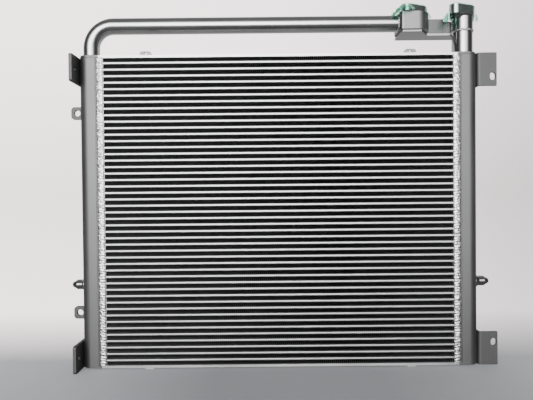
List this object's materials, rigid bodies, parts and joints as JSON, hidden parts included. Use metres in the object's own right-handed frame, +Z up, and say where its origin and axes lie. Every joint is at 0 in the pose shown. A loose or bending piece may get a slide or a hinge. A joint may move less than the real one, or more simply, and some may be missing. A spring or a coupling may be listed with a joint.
{
  "type": "hydraulic oil cooler",
  "caption": "Bar-and-plate oil cooler: finned core between two D-section tanks, with a bent return pipe, two upward ports, a bypass valve and side brackets.",
  "frame": {"origin": "centre of the base: midway between the tanks and between the core's faces, at the underside of the foot pads", "axes": "+X along the core's width to the inlet tank, +Y through the core to the rear, +Z up along the tanks"},
  "size_m": [0.8507, 0.096, 0.7137],
  "materials": {
    "fin_aluminium": "bare thin sheet, dark between the rows",
    "tube_aluminium": "smooth drawn tube, semi-gloss",
    "weld_aluminium": "rippled bright weld metal",
    "tank_aluminium": "satin extrusion",
    "bracket_aluminium": "satin plate",
    "machined_aluminium": "milled, fine tool marks",
    "bar_aluminium": "bright brazed bar",
    "valve_steel": "ground steel",
    "seal_rubber": "matte",
    "green_film": "thin clear green film, crumpled"
  },
  "bodies": {
    "cooler": {"air_bars_left": "bar_aluminium", "air_bars_right": "bar_aluminium", "air_fins": "fin_aluminium", "block_port_head": "tube_aluminium", "bracket_left_bottom": "bracket_aluminium", "bracket_left_top": "bracket_aluminium", "bracket_right_bottom": "bracket_aluminium", "bracket_right_top": "bracket_aluminium", "bracket_welds": "weld_aluminium", "bypass_body": "machined_aluminium", "bypass_plug": "valve_steel", "bypass_seal": "seal_rubber", "bypass_spring": "valve_steel", "ear_lower": "bracket_aluminium", "ear_upper": "bracket_aluminium", "foot_pads": "bracket_aluminium", "locating_pin_left": "bracket_aluminium", "locating_pin_right": "bracket_aluminium", "oil_bars_front": "bar_aluminium", "oil_bars_rear": "bar_aluminium", "oil_turbulators": "fin_aluminium", "parting_sheets": "bar_aluminium", "pipe_welds": "weld_aluminium", "port_block": "machined_aluminium", "return_pipe": "tube_aluminium", "riser_base_weld": "weld_aluminium", "riser_port_head": "tube_aluminium", "riser_tube": "tube_aluminium", "riser_weld": "weld_aluminium", "side_plate_bottom": "bar_aluminium", "side_plate_top": "bar_aluminium", "tank_cap_left_bottom": "tank_aluminium", "tank_cap_left_top": "tank_aluminium", "tank_cap_right_bottom": "tank_aluminium", "tank_cap_right_top": "tank_aluminium", "tank_left": "tank_aluminium", "tank_right": "tank_aluminium", "tie_plate": "bracket_aluminium", "top_lugs": "bracket_aluminium", "weld_seams_left": "weld_aluminium", "weld_seams_right": "weld_aluminium"},
    "bypass_poppet": {"bypass_poppet": "valve_steel"},
    "block_port_film": {"block_port_film": "green_film"},
    "riser_port_film": {"riser_port_film": "green_film"}
  },
  "joints": [
    {"name": "bypass_lift", "type": "slide", "parent": "cooler", "child": "bypass_poppet", "axis": [0, 0, 1], "range_m": [0, 0.0035], "stiffness_N_per_m": 3000, "springref_m": -0.004, "deforming": ["bypass_spring"]},
    {"name": "block_film_off", "type": "slide", "parent": "cooler", "child": "block_port_film", "axis": [0, 0, 1], "range_m": [0, 0.08]},
    {"name": "riser_film_off", "type": "slide", "parent": "cooler", "child": "riser_port_film", "axis": [0, 0, 1], "range_m": [0, 0.08]}
  ]
}
